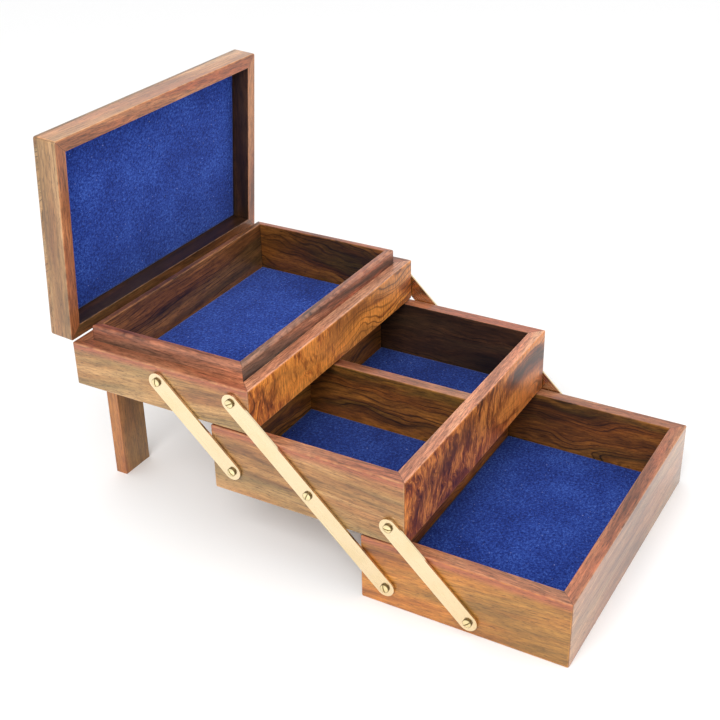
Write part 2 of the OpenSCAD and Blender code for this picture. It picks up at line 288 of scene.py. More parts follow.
# How far slow waves push the grain, their rate, bands per metre, growth lines' pitch and depth,
# and the patch value above which the lines show
FIGURES = {
    "straight": (0.012, (7, 20, 20), 120, 0.0026, 0.40, 0.42),
    "lined": (0.016, (8, 20, 20), 120, 0.0030, 0.90, 0.42),
    "wavy": (0.036, (14, 26, 26), 110, 0.0036, 0.85, 0.42),
    "flame": (0.034, (16, 26, 26), 110, 0.0046, 0.66, 0.32),
}
# How far away the pith lies across the board and through it: its rings cut the faces as long arcs
PITH_ACROSS = (0.05, 0.09)
PITH_THROUGH = (0.04, 0.09)
# Rates of the noises along the grain, across it and through the board
JITTER_RATE = (9, 60, 20)
PATCH_RATE = (14, 90, 20)
BROAD_RATE = (8, 30, 30)
HUE_RATE = (5, 55, 9)
SMOKE_RATE = (11, 150, 40)
WEAR_RATE = (160, 160, 160)
BAND_ALONG, BAND_THROUGH = 6, 12
# Fine rate and rate along the fibres, for the fibres and for the open pores
FIBRE_RATES = (750, 75)
PORE_RATES = (1700, 210)
# Noise values between which each effect comes in
LINE_IN = (0.55, 1.0)
CAST_IN = (0.50, 0.64)
WARM_IN = (0.52, 0.66)
SMOKE_IN = (0.48, 0.60)
PORE_IN = (0.60, 0.70)
WEAR_IN = (0.35, 0.65)
# Strength of each effect
CAST_DEPTH = 0.55
WARM_DEPTH = 0.50
EDGE_RED_DEPTH = 0.85
PORE_DEPTH = 0.55
WEAR_DEPTH = 0.35
SEAM_DEPTH = 0.55
LINE_JITTER = 14
PATCH_SOFTNESS = 0.20
# Share of the bands in a board's tone, the rest being a broad, slow change
BAND_SHARE = 0.62
# Tones below and above which the wood turns dark and light, and how far each change reaches
DARK_BELOW, LIGHT_ABOVE = 0.49, 0.50
TONE_REACH, FLAME_TONE_REACH = 0.11, 0.075
# How much darker and lighter the fibres are, at a grit of 1, and their noise values
FIBRE_DARK, FIBRE_LIGHT = 0.34, 0.30
FIBRE_LOW, FIBRE_MIDDLE, FIBRE_HIGH = 0.34, 0.50, 0.66
DARK_TINT = (1, 0.96, 0.92)
LIGHT_TINT = (1, 0.99, 0.97)
FIBRE_ROUGH = 0.16
FIBRE_HEIGHT = 0.5
WORN_LIGHTER = 1.35
EDGE_RED = "#9A5238"


def grain_space(n, rng, axis):
    """Object space turned so that its X follows the grain, and shifted by the piece's seed."""
    place = n.add("ShaderNodeTexCoord").outputs["Object"]
    turn = (0, 0, 0) if axis == "x" else (0, math.radians(90), 0)
    turned = n.add("ShaderNodeMapping", {"Vector": place, "Rotation": turn}).outputs[0]
    shift = tuple(rng.uniform(-3, 3) for _ in range(3))
    tilt = math.radians(rng.uniform(-3, 3))
    moved = n.add("ShaderNodeMapping", {"Vector": turned, "Location": shift,
                                        "Rotation": (0, tilt, tilt)}).outputs[0]
    return place, moved, shift


def bend(n, vector, rate, reach):
    """Pushes a texture's place about by a slow noise, as far as reach says for each axis."""
    wave = n.noise(n.scaled(vector, rate), 2)["Color"]
    push = n.vector("SUBTRACT", wave, (0.5, 0.5, 0.5))
    return n.vector("ADD", vector, n.scaled(push, reach))


def growth(n, grain, shift, rng, figure):
    """Place along, across and through the rings, the bands' tone, and the thin lines' strength."""
    reach, rate, per_metre, pitch, depth, shown_above = FIGURES[figure]
    waved = bend(n, grain, rate, (0, reach, reach))
    along, across, through = n.add("ShaderNodeSeparateXYZ", {0: waved}).outputs
    pith_across = shift[1] + rng.uniform(*PITH_ACROSS)
    pith_through = shift[2] - rng.uniform(*PITH_THROUGH)
    dy = n.minus(across, pith_across)
    dz = n.minus(through, pith_through)
    ring = n.math("SQRT", n.plus(n.times(dy, dy), n.times(dz, dz)))
    flat = n.add("ShaderNodeCombineXYZ", {0: along, 1: ring, 2: through}).outputs[0]
    bands = n.noise(n.scaled(flat, (BAND_ALONG, per_metre, BAND_THROUGH)), 5, 0.62)["Fac"]
    jitter = n.noise(n.scaled(flat, JITTER_RATE), 2)["Fac"]
    phase = n.plus(n.times(ring, math.tau / pitch), n.times(jitter, LINE_JITTER))
    crest = n.step(n.math("SINE", phase), *LINE_IN)
    patches = n.noise(n.scaled(flat, PATCH_RATE), 3)["Fac"]
    shown = n.step(patches, shown_above, shown_above + PATCH_SOFTNESS)
    return flat, bands, n.times(n.times(crest, shown), depth)


# Rate and reach of the two bends that twist the flames, the slow one first
TWISTS = (((17, 17, 13), 0.038), ((75, 75, 55), 0.015))
# Share of a twist's reach that each axis takes
TWIST_SHARES = (1, 0.3, 0.6)
WISP_RATE = (260, 120, 58)
POOL_RATE = (52, 40, 30)
VEIN_RATE = (190, 80, 44)
WISP_SHARE = 0.42
VEIN_WIDTH = 0.040
VEIN_LIGHT = 0.075
# How raggedly the flames end, and the broad tone at which the plain grain keeps its own tone
CALM_FUZZ = 0.05
BROAD_LEVEL = 0.45


def flames(n, place, shift, lift):
    """Turbulent upright wisps and dark pools, as on a board cut across a burl."""
    bent = n.vector("ADD", place, shift)
    for rate, reach in TWISTS:
        bent = bend(n, bent, rate, tuple(reach * share for share in TWIST_SHARES))
    wisps = n.noise(n.scaled(bent, WISP_RATE), 5, 0.66)["Fac"]
    pools = n.noise(n.scaled(bent, POOL_RATE), 4, 0.6)["Fac"]
    veins = n.noise(n.scaled(bent, VEIN_RATE), 3, 0.6)["Fac"]
    ridge = n.step(n.math("ABSOLUTE", n.minus(veins, 0.5)), VEIN_WIDTH, 0.0)
    tone = n.plus(n.times(wisps, WISP_SHARE), n.times(pools, 1 - WISP_SHARE))
    return n.plus(n.plus(tone, lift), n.times(ridge, VEIN_LIGHT))


def into_flames(n, tone, lines, broad, own_x, wisps, start, end):
    """Tone and lines of a board whose flames turn into plain grain from start to end along X."""
    fuzzy = n.plus(own_x, n.times(broad, CALM_FUZZ))
    share = n.step(fuzzy, end + CALM_FUZZ / 2, start + CALM_FUZZ / 2)
    tone = n.plus(tone, n.minus(broad, BROAD_LEVEL))
    tone = n.plus(tone, n.times(n.minus(wisps, tone), share))
    return tone, n.times(lines, n.minus(1.0, share))


def fine_rate(rates, flamed):
    """Rate of a fine texture that runs along the grain, or upright on a flamed board."""
    fine, along = rates
    return (fine, fine, along) if flamed else (along, fine, fine)


def tinted(n, colour, flat, cast, warm):
    """Adds the grey-green cast where a slow noise is high, and the reddish one where it is low."""
    hues = n.noise(n.scaled(flat, HUE_RATE), 4, 0.55)["Fac"]
    colour = n.mix(n.times(n.step(hues, *CAST_IN), CAST_DEPTH), colour, cast)
    reds = n.step(n.minus(1.0, hues), *WARM_IN)
    return n.mix(n.times(reds, WARM_DEPTH), colour, warm)


def red_edge(n, colour, own_z, bands, top):
    """Adds a reddish band below a board's top edge, with a lower side that follows the grain."""
    edge = n.plus(own_z, n.times(bands, 10 * MM))
    band = n.times(n.step(edge, top - 3 * MM, top + 2 * MM), EDGE_RED_DEPTH)
    return n.mix(band, colour, linear(EDGE_RED))


def fibred(n, colour, fibre, grit):
    """Darkens and lightens the colour along the finest fibres."""
    low, high = 1 - FIBRE_DARK * grit, 1 + FIBRE_LIGHT * grit
    streak = n.ramp(fibre, [(FIBRE_LOW, tuple(low * c for c in DARK_TINT)),
                            (FIBRE_MIDDLE, (1, 1, 1)),
                            (FIBRE_HIGH, tuple(high * c for c in LIGHT_TINT))])
    return n.mix(1.0, colour, streak, "MULTIPLY")


def worn(n, colour, grain, light):
    """Lightens the worn edges, in patches."""
    wear = n.add("ShaderNodeAttribute", attribute_name="wear").outputs["Fac"]
    patchy = n.step(n.noise(n.scaled(grain, WEAR_RATE), 2)["Fac"], *WEAR_IN)
    pale = tuple(min(1, c * WORN_LIGHTER) for c in light[:3]) + (1,)
    return n.mix(n.times(n.times(wear, patchy), WEAR_DEPTH), colour, pale)


def seamed(n, colour, own_x, own_y, length, line):
    """Draws the thin dark seams of the mitres at a board's ends."""
    past = n.plus(n.math("ABSOLUTE", own_x), own_y)
    seam = n.step(past, length / 2 - 0.6 * MM, length / 2 - 0.1 * MM)
    return n.mix(n.times(seam, SEAM_DEPTH), colour, line)


def wood(name, palette, seed, figure="straight", gloss=0.34, coat=0.5, axis="x",
         length=None, top=None, calm=None, grit=1.0, smoke=0.0):
    """Rosewood-like hardwood whose grain runs along the piece's own X (or Z) axis.

    palette and figure are names in PALETTES and FIGURES. gloss is the lowest roughness.
    length is a mitred board's length, for the seams at its ends. top is the height of an edge
    with a reddish band below it. calm is the X range over which flames turn into plain grain,
    and the flames' extra lightness. grit is the contrast of the finest fibres, and smoke the
    strength of long grey streaks. Fibres stand upright on a flamed board.
    """
    n = Nodes(name)
    rng = random.Random(seed)
    flamed = figure == "flame"
    light, middle, dark, line, cast, warm = (linear(c) for c in PALETTES[palette])
    place, grain, shift = grain_space(n, rng, axis)
    own_x, own_y, own_z = n.add("ShaderNodeSeparateXYZ", {0: place}).outputs
    flat, bands, lines = growth(n, grain, shift, rng, figure)
    broad = n.noise(n.scaled(grain, BROAD_RATE), 3, 0.55)["Fac"]
    tone = n.plus(n.times(bands, BAND_SHARE), n.times(broad, 1 - BAND_SHARE))
    if flamed:
        start, end, lift = calm
        wisps = flames(n, place, shift, lift)
        tone, lines = into_flames(n, tone, lines, broad, own_x, wisps, start, end)
    reach = FLAME_TONE_REACH if flamed else TONE_REACH
    colour = n.ramp(tone, [(DARK_BELOW - reach, dark), (DARK_BELOW, middle),
                           (LIGHT_ABOVE + reach, light)])
    colour = tinted(n, colour, flat, cast, warm)
    if top:
        colour = red_edge(n, colour, own_z, bands, top)
    if smoke:
        haze = n.noise(n.scaled(flat, SMOKE_RATE), 3)["Fac"]
        colour = n.mix(n.times(n.step(haze, *SMOKE_IN), smoke), colour, dark)
    colour = n.mix(lines, colour, line)
    fibre = n.noise(n.scaled(grain, fine_rate(FIBRE_RATES, flamed)), 5, 0.75)["Fac"]
    colour = fibred(n, colour, fibre, grit)
    flecks = n.noise(n.scaled(grain, fine_rate(PORE_RATES, flamed)), 1)["Fac"]
    open_pores = n.times(n.step(flecks, *PORE_IN), PORE_DEPTH)
    colour = n.mix(open_pores, colour, line)
    colour = worn(n, colour, grain, light)
    if length:
        colour = seamed(n, colour, own_x, own_y, length, line)
    rough = n.plus(n.times(fibre, FIBRE_ROUGH), gloss)
    height = n.minus(n.times(fibre, FIBRE_HEIGHT), open_pores)
    n.shader.inputs["Coat Weight"].default_value = coat
    n.shader.inputs["Coat Roughness"].default_value = 0.16
    n.shader.inputs["Specular IOR Level"].default_value = 0.35
    return n.finish(colour, rough, height, bump=0.35, depth=0.10 * MM)


# ---------------------------------------------------------------- felt and brass

# Dark, middle and light blue, and the tones at which they stand
FELT_BLUES = ("#0B1B56", "#1B368C", "#4266C0")
FELT_TONES = (0.38, 0.50, 0.62)
# Rate of the nap's slow clouds, the tufts, the single hairs and the pale specks, per metre
NAP_RATE = 26
TUFT_RATE = 480
HAIR_RATE = 1300
LINT_RATE = 620
# Shares of the nap, the tufts and the hairs in the tone, and in the height
NAP_SHARE = 0.20
TUFT_SHARE = 0.50
HAIR_SHARE = 0.30
TUFT_HEIGHT = 0.6
HAIR_HEIGHT = 0.4
SEED_SHIFT = (1.7, 0.9, 0.4)
LINT = "#C4CDEC"
LINT_IN = (0.75, 0.785)
LINT_DEPTH = 0.6


def felt(name, seed, felt_painted_shade=1.0):
    """Royal blue felt: fine fibres, a soft mottled nap, a few pale specks and a sheen; its blues
    can be darkened as painted shade.
    """
    n = Nodes(name)
    shift = tuple(seed * step for step in SEED_SHIFT)
    place = n.add("ShaderNodeTexCoord").outputs["Object"]
    place = n.vector("ADD", place, shift)
    nap = n.noise(place, 4, 0.6, NAP_RATE)["Fac"]
    tuft = n.noise(place, 3, 0.75, TUFT_RATE)["Fac"]
    hair = n.noise(place, 2, 0.6, HAIR_RATE)["Fac"]
    tone = n.plus(n.times(nap, NAP_SHARE), n.times(tuft, TUFT_SHARE))
    tone = n.plus(tone, n.times(hair, HAIR_SHARE))
    # Painted shade: the blues are darkened by the given factor
    blues = [tuple(c * felt_painted_shade for c in linear(code)[:3]) for code in FELT_BLUES]
    colour = n.ramp(tone, list(zip(FELT_TONES, blues)))
    specks = n.step(n.noise(place, 1, scale=LINT_RATE)["Fac"], *LINT_IN)
    colour = n.mix(n.times(specks, LINT_DEPTH), colour, linear(LINT))
    height = n.plus(n.times(tuft, TUFT_HEIGHT), n.times(hair, HAIR_HEIGHT))
    n.shader.inputs["Sheen Weight"].default_value = 0.30
    n.shader.inputs["Sheen Roughness"].default_value = 0.45
    n.shader.inputs["Sheen Tint"].default_value = (0.45, 0.55, 0.95, 1)
    n.shader.inputs["Specular IOR Level"].default_value = 0.15
    return n.finish(colour, 0.95, height, bump=0.8, depth=0.5 * MM)


# Rate of the tarnish, noise values between which it and the scratches come in, and their strength
CLOUD_RATE = 45
CLOUD_IN = (0.45, 0.80)
CLOUD_DEPTH = 0.50
SCRATCH_IN = (0.55, 0.75)
SCRATCH_DEPTH = 0.25
SCRATCH_ALONG = 25
SCRATCH_ROUGHER = 0.12
# Painted shade in the screws' slots and below their heads: its colour, strength and extra
# roughness
SLOT_SHADE = "#4A3216"
SLOT_SHADE_DEPTH = 0.85
SLOT_SHADE_ROUGHER = 0.3


def brass(name, tint="#EBD6B0", dull="#DAC48E", rough=0.20, lean=0.0, scratch=900, shaded_inside=None):
    """Pale satin brass with fine scratches along the piece and a little tarnish.

    lean is the angle of the scratches about X, and scratch their rate across. The last argument is
    a
    distance from the middle of the box: what lies inside it, in a slot or below a screw's head,
    takes painted shade, standing in for the slot's shadow and the dark wood that the head's wall
    reflects.
    """
    n = Nodes(name)
    place = n.add("ShaderNodeTexCoord").outputs["Object"]
    turned = n.add("ShaderNodeMapping", {"Vector": place, "Rotation": (lean, 0, 0)}).outputs[0]
    hair = n.noise(n.scaled(turned, (scratch, SCRATCH_ALONG, scratch)), 3, 0.7)["Fac"]
    cloud = n.noise(place, 4, 0.6, CLOUD_RATE)["Fac"]
    colour = n.mix(n.times(n.step(cloud, *CLOUD_IN), CLOUD_DEPTH), linear(tint), linear(dull))
    colour = n.mix(n.times(n.step(hair, *SCRATCH_IN), SCRATCH_DEPTH), colour, linear(dull))
    spread = n.plus(n.times(hair, SCRATCH_ROUGHER), rough)
    if shaded_inside:
        own_x = n.math("ABSOLUTE", n.add("ShaderNodeSeparateXYZ", {0: place}).outputs[0])
        # Painted shade and painted reflection of dark wood inside the slots and below the heads
        painted_slot_shade = n.step(own_x, shaded_inside + 0.1 * MM, shaded_inside - 0.1 * MM)
        colour = n.mix(n.times(painted_slot_shade, SLOT_SHADE_DEPTH), colour, linear(SLOT_SHADE))
        spread = n.plus(spread, n.times(painted_slot_shade, SLOT_SHADE_ROUGHER))
    n.shader.inputs["Metallic"].default_value = 1
    return n.finish(colour, spread, hair, bump=0.12, depth=0.05 * MM)


# ---------------------------------------------------------------- board meshes

# Segments of a rounded corner's arc
ARC_STEPS = 4
# Where the unworn points beside an arc lie: in radii, and at most this share of the side
UNWORN_AT = 1.9
UNWORN_SHARE = 0.45
# Edges sharper than this stay sharp in the shading
SHARP = math.radians(35)


def rounded_profile(corners):
    """Closed outline from (inwards, up, radius) corners, as (inwards, up, wear) points.

    A rounded corner gets an arc whose points are worn, with unworn points a little beside it.
    """
    out = []
    count = len(corners)
    for i, (u, z, radius) in enumerate(corners):
        here = Vector((u, z))
        before = Vector(corners[i - 1][:2]) - here
        after = Vector(corners[(i + 1) % count][:2]) - here
        if radius <= 0:
            out.append((u, z, 0.0))
            continue
        a, b = before.normalized(), after.normalized()
        side = min(radius * UNWORN_AT, UNWORN_SHARE * before.length, UNWORN_SHARE * after.length)
        centre = here + (a + b) * radius
        out.append((*(here + a * side), 0.0))
        start = (here + a * radius) - centre
        sweep = start.angle_signed(here + b * radius - centre)
        for k in range(ARC_STEPS + 1):
            point = centre + Matrix.Rotation(-sweep * k / ARC_STEPS, 2) @ start
            out.append((point.x, point.y, 1.0))
        out.append((*(here + b * side), 0.0))
    return out


def object_of(name, mesh, bm, sharp=None):
    """Writes a bmesh into its mesh, smooth but for edges over the sharp angle, as an object."""
    for face in bm.faces:
        face.smooth = True
    bm.to_mesh(mesh)
    bm.free()
    if sharp:
        mesh.set_sharp_from_angle(angle=sharp)
    obj = bpy.data.objects.new(name, mesh)
    bpy.context.scene.collection.objects.link(obj)
    return obj


# How far the columns of a mitred corner spread on the board's inner side
FAN_SPREAD = 0.3
FAN_COLUMNS = 5
BOARD_STEPS = 18
CORNER_WEAR = 0.8


def board_mesh(name, length, profile, zones, corner=0.0, mitred=True):
    """Sweeps a profile along X. Mitred ends are cut at 45 degrees and meet a rounded corner.

    The outer face lies at y = 0 and the profile runs inwards along +Y. zones says which
    material each face takes.
    """
    columns = []
    half = length / 2
    fan = FAN_COLUMNS if mitred and corner > 0 else 1
    for k in range(fan):
        angle = math.radians(45) * (1 - k / (fan - 1)) if fan > 1 else 0.0
        columns.append(("end", -1, angle))
    for k in range(1, BOARD_STEPS):
        columns.append(("mid", 2 * k / BOARD_STEPS - 1, 0))
    for k in range(fan):
        angle = math.radians(45) * (k / (fan - 1)) if fan > 1 else 0.0
        columns.append(("end", 1, angle))

    def point(column, u, z):
        kind, place, angle = column
        if kind == "end" and not mitred:
            return (place * half, u, z)
        if kind == "end" and fan == 1:
            return (place * (half - u), u, z)
        if kind == "end":
            if u <= corner:
                x = half - corner + (corner - u) * math.sin(angle)
                y = corner - (corner - u) * math.cos(angle)
            else:
                spread = 1 + FAN_SPREAD * (1 - math.tan(angle))
                x = half - corner - (u - corner) * spread
                y = u
            return (place * x, y, z)
        inner = half - (WALL * (1 + FAN_SPREAD) + corner if mitred else 0)
        return (place * inner, u, z)

    mesh = bpy.data.meshes.new(name)
    bm = bmesh.new()
    wear_layer = bm.verts.layers.float.new("wear")
    grid = []
    for column in columns:
        row = []
        for u, z, wear in profile:
            vert = bm.verts.new(point(column, u, z))
            at_corner = column[0] == "end" and corner > 0 and column[2] > 0 and u < corner
            vert[wear_layer] = max(wear, CORNER_WEAR if at_corner else 0.0)
            row.append(vert)
        grid.append(row)
    count = len(profile)
    for a, b in zip(grid, grid[1:]):
        for i in range(count):
            j = (i + 1) % count
            bm.faces.new((a[i], a[j], b[j], b[i]))
    bm.faces.new(grid[0])
    bm.faces.new(list(reversed(grid[-1])))
    bmesh.ops.recalc_face_normals(bm, faces=bm.faces)
    bm.normal_update()
    for face in bm.faces:
        face.material_index = zones(face.normal)
    return object_of(name, mesh, bm, SHARP)


SIDES = {"front": 0, "right": 90, "back": 180, "left": 270}


def place_side(obj, side, width, depth, at):
    """Puts a board, made with its outer face at y = 0, on one side of a width by depth frame."""
    reach = depth if side in ("front", "back") else width
    turn = Matrix.Rotation(math.radians(SIDES[side]), 4, "Z")
    obj.matrix_world = at @ turn @ Matrix.Translation((0, -reach / 2, 0))


# How squarely a face has to look up to be a rim, or inwards to be an inner face
RIM_FACING = 0.6
INNER_FACING = 0.5


def zones_of(rim_up):
    """Which material a face takes: 0 outer face, 1 rim, 2 inner face. rim_up is 1 or -1."""

    def pick(normal):
        if normal.z * rim_up > RIM_FACING:
            return 1
        if normal.y > INNER_FACING:
            return 2
        return 0

    return pick


def finish_piece(obj, node, body, materials):
    """Gives a new piece its materials, hangs it on the body it rides, and hides the node it stands
    for.
    """
    for material in materials:
        obj.data.materials.append(material)
    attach(obj, body)
    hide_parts(node)


def hinge_room(obj):
    """Hollows a board's edge round the hinge knuckles."""
    low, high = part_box("right_case_leaf")
    radius = KNUCKLE_R + KNUCKLE_ROOM
    for hand in (-1, 1):
        middle = Vector((hand * (low.x + high.x) / 2, HINGE.y, HINGE.z))
        bpy.ops.mesh.primitive_cylinder_add(vertices=48, radius=radius, location=middle,
                                            depth=high.x - low.x + 2 * KNUCKLE_ROOM,
                                            rotation=(0, math.radians(90), 0))
        cutter = bpy.context.object
        modifier = obj.modifiers.new("hinge_room", "BOOLEAN")
        modifier.operation = "DIFFERENCE"
        modifier.solver = "EXACT"
        modifier.object = cutter
        bpy.context.view_layer.update()
        evaluated = obj.evaluated_get(bpy.context.evaluated_depsgraph_get())
        cut = bpy.data.meshes.new_from_object(evaluated)
        obj.modifiers.clear()
        obj.data = cut
        bpy.data.objects.remove(cutter)


# ---------------------------------------------------------------- trays

# Palette and figure of the trays' outer faces that differ from the rest
OUTER = {
    ("base", "left"): ("golden", "straight"),
    ("base", "front"): ("tan", "straight"),
    ("middle", "front"): ("front", "flame"),
    ("upper", "front"): ("amber", "flame"),
}
# Palettes of the inner faces that differ from the rest: the middle tray's right face is darker
# wood with painted shade, and the base's back face takes a lighter palette, painted light where
# the middle tray shades it
INNER = {("middle", "right"): "dark", ("base", "back"): "golden"}
# X ranges over which a front's flames turn into plain grain, and the flames' extra lightness
CALM = {"middle": (0.02, 0.09, -0.012), "upper": (-0.02, 0.04, 0.02)}
EDGE_R = 0.9 * MM
INNER_EDGE_R = EDGE_R * 0.7
LINER_EDGE_R = 0.8 * MM
CORNER_R = 1.3 * MM
# Varnish, roughness and contrast of the fibres for each kind of face
OUTER_COAT, OUTER_GRIT = 0.55, 1.1
FLAME_COAT, FLAME_GRIT = 0.12, 1.4
LINER_COAT = 0.3
LID_COAT = 0.7
RIM_GLOSS, RIM_GRIT = 0.40, 1.8
INNER_GLOSS, INNER_COAT, INNER_GRIT = 0.42, 0.05, 1.6


def tray_board(tray, side, height, seed):
    """One mitred board of a tray, rebated below for the tray's bottom."""
    profile = rounded_profile([
        (0, 0, EDGE_R), (WALL - REBATE, 0, 0), (WALL - REBATE, BOTTOM_T, 0),
        (WALL, BOTTOM_T, 0), (WALL, height, INNER_EDGE_R), (0, height, EDGE_R)])
    long = side in ("front", "back")
    length = TRAY_W if long else TRAY_D
    obj = board_mesh(f"wood_{tray}_{side}", length, profile, zones_of(1), CORNER_R)
    place_side(obj, side, TRAY_W, TRAY_D, Matrix.Translation(tray_origin(tray)))
    if (tray, side) == ("upper", "back"):
        hinge_room(obj)
    palette, figure = OUTER.get((tray, side), ("end", "straight"))
    flamed = figure == "flame"
    look = f"{tray}_{side}"
    inner_figure = "straight" if tray == "upper" else "wavy"
    calm = CALM.get(tray) if side == "front" else None
    inner = INNER.get((tray, side), "inner")
    # Flamed fronts take a lighter rim palette: painted light against the shade their rims lie in
    rim = "painted_light_rim" if flamed else "rim"
    coat, grit = (FLAME_COAT, FLAME_GRIT) if flamed else (OUTER_COAT, OUTER_GRIT)
    materials = [wood(f"{look}_outer", palette, seed, figure, coat=coat, length=length,
                      top=None if long else height, calm=calm, grit=grit),
                 wood(f"{look}_rim", rim, seed, gloss=RIM_GLOSS, length=length, grit=RIM_GRIT),
                 wood(f"{look}_inner", inner, seed, inner_figure, gloss=INNER_GLOSS,
                      coat=INNER_COAT, length=length, grit=INNER_GRIT)]
    finish_piece(obj, f"{tray}_{side}_board", f"{tray}_tray", materials)


# Palette and figure of the lining's inner faces that differ from the rest: the right face's deep
# palette is darker wood with painted shade
LINER_INNER = {"back": ("choc", "lined"), "right": ("deep", "wavy")}
LINER_SMOKE = 0.75


def liner_board(side, seed):
    """One mitred board of the upper tray's raised lining."""
    inner_w, inner_d = TRAY_W - 2 * WALL, TRAY_D - 2 * WALL
    profile = rounded_profile([
        (0, BOTTOM_T, 0), (LINER_T, BOTTOM_T, 0), (LINER_T, LINER_TOP, LINER_EDGE_R),
        (LINER_STEP, LINER_TOP, LINER_CHAMFER), (LINER_STEP, UPPER_H, 0), (0, UPPER_H, 0)])
    long = side in ("front", "back")
    length = inner_w if long else inner_d
    obj = board_mesh(f"wood_liner_{side}", length, profile, zones_of(1))
    place_side(obj, side, inner_w, inner_d, Matrix.Translation(tray_origin("upper")))
    inner, figure = LINER_INNER.get(side, ("inner", "wavy"))
    outer, smoke = ("streaked", LINER_SMOKE) if side == "front" else ("liner", 0.0)
    rim_palette = "choc" if side == "back" else outer
    materials = [wood(f"liner_{side}_outer", outer, seed, coat=LINER_COAT, length=length,
                      grit=RIM_GRIT, smoke=smoke),
                 wood(f"liner_{side}_rim", rim_palette, seed, coat=LINER_COAT, length=length,
                      grit=RIM_GRIT, smoke=smoke),
                 wood(f"liner_{side}_inner", inner, seed, figure, coat=INNER_COAT,
                      length=length, grit=INNER_GRIT)]
    finish_piece(obj, f"liner_{side}", "upper_tray", materials)


def divider(seed):
    """The board across the middle tray, square at its ends."""
    low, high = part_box("middle_divider")
    size = high - low
    profile = rounded_profile([
        (0, 0, 0), (size.x, 0, 0), (size.x, size.z, EDGE_R), (0, size.z, EDGE_R)])
    obj = board_mesh("wood_divider", size.y, profile, zones_of(1), mitred=False)
    obj.matrix_world = (Matrix.Translation((high.x, (low.y + high.y) / 2, low.z))
                        @ Matrix.Rotation(math.radians(90), 4, "Z"))
    materials = [wood("divider_face", "inner", seed, "wavy", coat=INNER_COAT, grit=INNER_GRIT),
                 wood("divider_rim", "rim", seed, gloss=RIM_GLOSS, grit=RIM_GRIT),
                 wood("divider_back", "inner", seed, "wavy", coat=INNER_COAT, grit=INNER_GRIT)]
    finish_piece(obj, "middle_divider", "middle_tray", materials)


# Seeds of the grain: the boards take the numbers after the first one
seed = 10
DIVIDER_SEED = 61
PANEL_SEED = 88
LEG_SEED = 70
BOTTOM_SEED = 80

for tray, height in (("base", TRAY_H), ("middle", TRAY_H), ("upper", UPPER_H)):
    for side in SIDES:
        seed += 1
        tray_board(tray, side, height, seed)
for side in SIDES:
    seed += 1
    liner_board(side, seed)
divider(DIVIDER_SEED)

# ---------------------------------------------------------------- lid

# The lid's pieces are made as if it were closed, then turned about the hinge to where it stands
OPENING = (Matrix.Translation(HINGE) @ Matrix.Rotation(-LID_OPEN, 4, "X")
           @ Matrix.Translation(-HINGE))
LID_RIM_Z = 2 * HINGE.z - RIM_Z
PANEL_T = 4 * MM
LID_BOARD_H = 17 * MM
LID_FRAME = OPENING @ Matrix.Translation((0, tray_origin("upper").y, LID_RIM_Z))
LID_CORNER_R = 2.2 * MM
LID_SEAM_R = 0.25 * MM
PANEL_EDGE_R = 2.2 * MM
PANEL_WORN = 2 * MM
LID_FELT_T = 2 * MM


def lid_board(side, seed):
    """One mitred board of the lid's frame, rim downwards as when the lid is closed."""
    profile = rounded_profile([
        (0, 0, EDGE_R), (LID_WALL, 0, INNER_EDGE_R), (LID_WALL, LID_BOARD_H, 0),
        (0, LID_BOARD_H, LID_SEAM_R)])
    long = side in ("front", "back")
    length = TRAY_W if long else TRAY_D
    obj = board_mesh(f"wood_lid_{side}", length, profile, zones_of(-1), LID_CORNER_R)
    place_side(obj, side, TRAY_W, TRAY_D, LID_FRAME)
    if side == "back":
        hinge_room(obj)
    outer = "peach" if side == "front" else "olive"
    rim = "choc" if side == "back" else "warm_rim"
    materials = [wood(f"lid_{side}_outer", outer, seed, coat=LID_COAT, length=length),
                 wood(f"lid_{side}_rim", rim, seed, gloss=RIM_GLOSS, length=length,
                      grit=RIM_GRIT),
                 wood(f"lid_{side}_inner", "dark", seed, coat=INNER_COAT, length=length,
                      grit=INNER_GRIT)]
    finish_piece(obj, f"lid_{side}_board", "lid", materials)


def lid_panel(seed):
    """The panel over the lid's boards, with a rounded top edge and rounded corners."""
    mesh = bpy.data.meshes.new("wood_lid_panel")
    bm = bmesh.new()
    wear_layer = bm.verts.layers.float.new("wear")
    bmesh.ops.create_cube(bm, size=1)
    bmesh.ops.scale(bm, vec=(TRAY_W, TRAY_D, PANEL_T), verts=bm.verts)
    bmesh.ops.translate(bm, vec=(0, 0, PANEL_T / 2), verts=bm.verts)
    upright = [e for e in bm.edges if abs(e.verts[0].co.z - e.verts[1].co.z) > PANEL_T / 2]
    bmesh.ops.bevel(bm, geom=upright, offset=LID_CORNER_R, segments=6, profile=0.5, affect="EDGES")
    top = [e for e in bm.edges if min(v.co.z for v in e.verts) > PANEL_T * 0.99]
    bmesh.ops.bevel(bm, geom=top, offset=PANEL_EDGE_R, segments=5, profile=0.5, affect="EDGES")
    for vert in bm.verts:
        near_top = vert.co.z > PANEL_T * 0.5
        inset = min(TRAY_W / 2 - abs(vert.co.x), TRAY_D / 2 - abs(vert.co.y))
        vert[wear_layer] = 1.0 if near_top and inset < PANEL_WORN else 0.0
    obj = object_of("wood_lid_panel", mesh, bm, SHARP)
    obj.matrix_world = LID_FRAME @ Matrix.Translation((0, 0, LID_BOARD_H))
    finish_piece(obj, "lid_panel", "lid", [wood("lid_panel", "olive", seed, "wavy")])


for side in SIDES:
    seed += 1
    lid_board(side, seed)
lid_panel(PANEL_SEED)

# ---------------------------------------------------------------- felt sheets

# Spacing of the mesh, width of the rolled edge, and as shares of the felt's thickness the height
# at the very edge and what the roll adds to it
FELT_PITCH = 1.6 * MM
FELT_EDGE = 1.2 * MM
EDGE_HEIGHT, ROLL_HEIGHT = 0.45, 0.45
WAVES = 4
WAVE_HEIGHT = 0.06 * MM
PILE_HEIGHT = 0.07 * MM
# Painted shade: the middle tray's felt is darkened next to the other felts, as it lies in deeper
# shade
PAINTED_FELT_SHADE = 0.72


